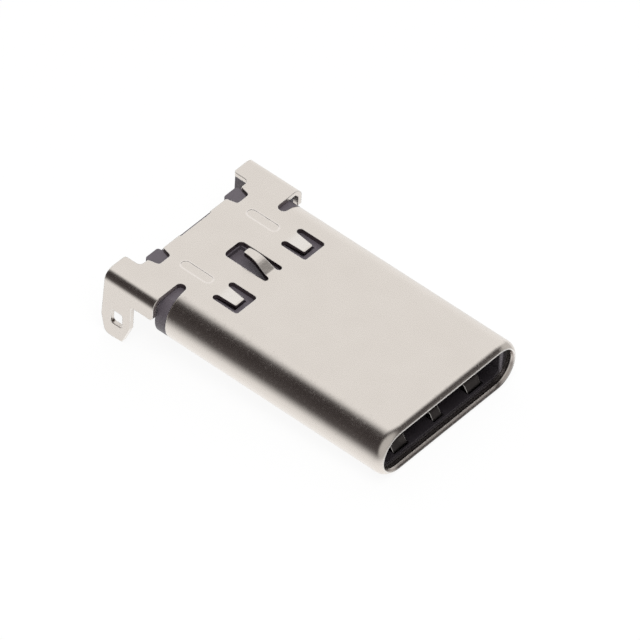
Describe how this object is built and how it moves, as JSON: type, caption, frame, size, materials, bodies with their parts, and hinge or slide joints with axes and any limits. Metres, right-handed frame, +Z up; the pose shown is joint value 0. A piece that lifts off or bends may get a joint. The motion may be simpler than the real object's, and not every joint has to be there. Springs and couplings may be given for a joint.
{
  "type": "usb-c plug",
  "caption": "Board-edge USB-C plug: flat round-ended steel shell with a curled mouth, ground arm and lances on top, moulded insulator, springy contacts, and wings folded into board legs.",
  "frame": {"origin": "middle of the mating mouth, on the plug's middle plane", "axes": "+Y from the mouth to the rear, +Z up to the side with the ground arm, X across"},
  "size_m": [0.0088, 0.014, 0.0036],
  "materials": {
    "satin_steel": "satin nickel-plated sheet with a fine grain",
    "black_insulator": "matt moulded black plastic",
    "rear_insulator": "matt moulded black plastic, faintly purple",
    "spring_steel": "bare stamped spring sheet",
    "contact_gold": "gold-plated copper alloy"
  },
  "bodies": {
    "root": {"shell": "satin_steel", "housing": "black_insulator", "upper_contact_carrier": "rear_insulator", "lower_contact_carrier": "rear_insulator", "latch_plate": "spring_steel", "upper_ground_spring": "spring_steel", "lower_ground_spring": "spring_steel", "contact_a1": "contact_gold", "contact_a2": "contact_gold", "contact_a3": "contact_gold", "contact_a4": "contact_gold", "contact_a5": "contact_gold", "contact_a6": "contact_gold", "contact_a7": "contact_gold", "contact_a8": "contact_gold", "contact_a9": "contact_gold", "contact_a10": "contact_gold", "contact_a11": "contact_gold", "contact_a12": "contact_gold", "contact_b1": "contact_gold", "contact_b2": "contact_gold", "contact_b3": "contact_gold", "contact_b4": "contact_gold", "contact_b5": "contact_gold", "contact_b8": "contact_gold", "contact_b9": "contact_gold", "contact_b10": "contact_gold", "contact_b11": "contact_gold", "contact_b12": "contact_gold"}
  },
  "joints": []
}
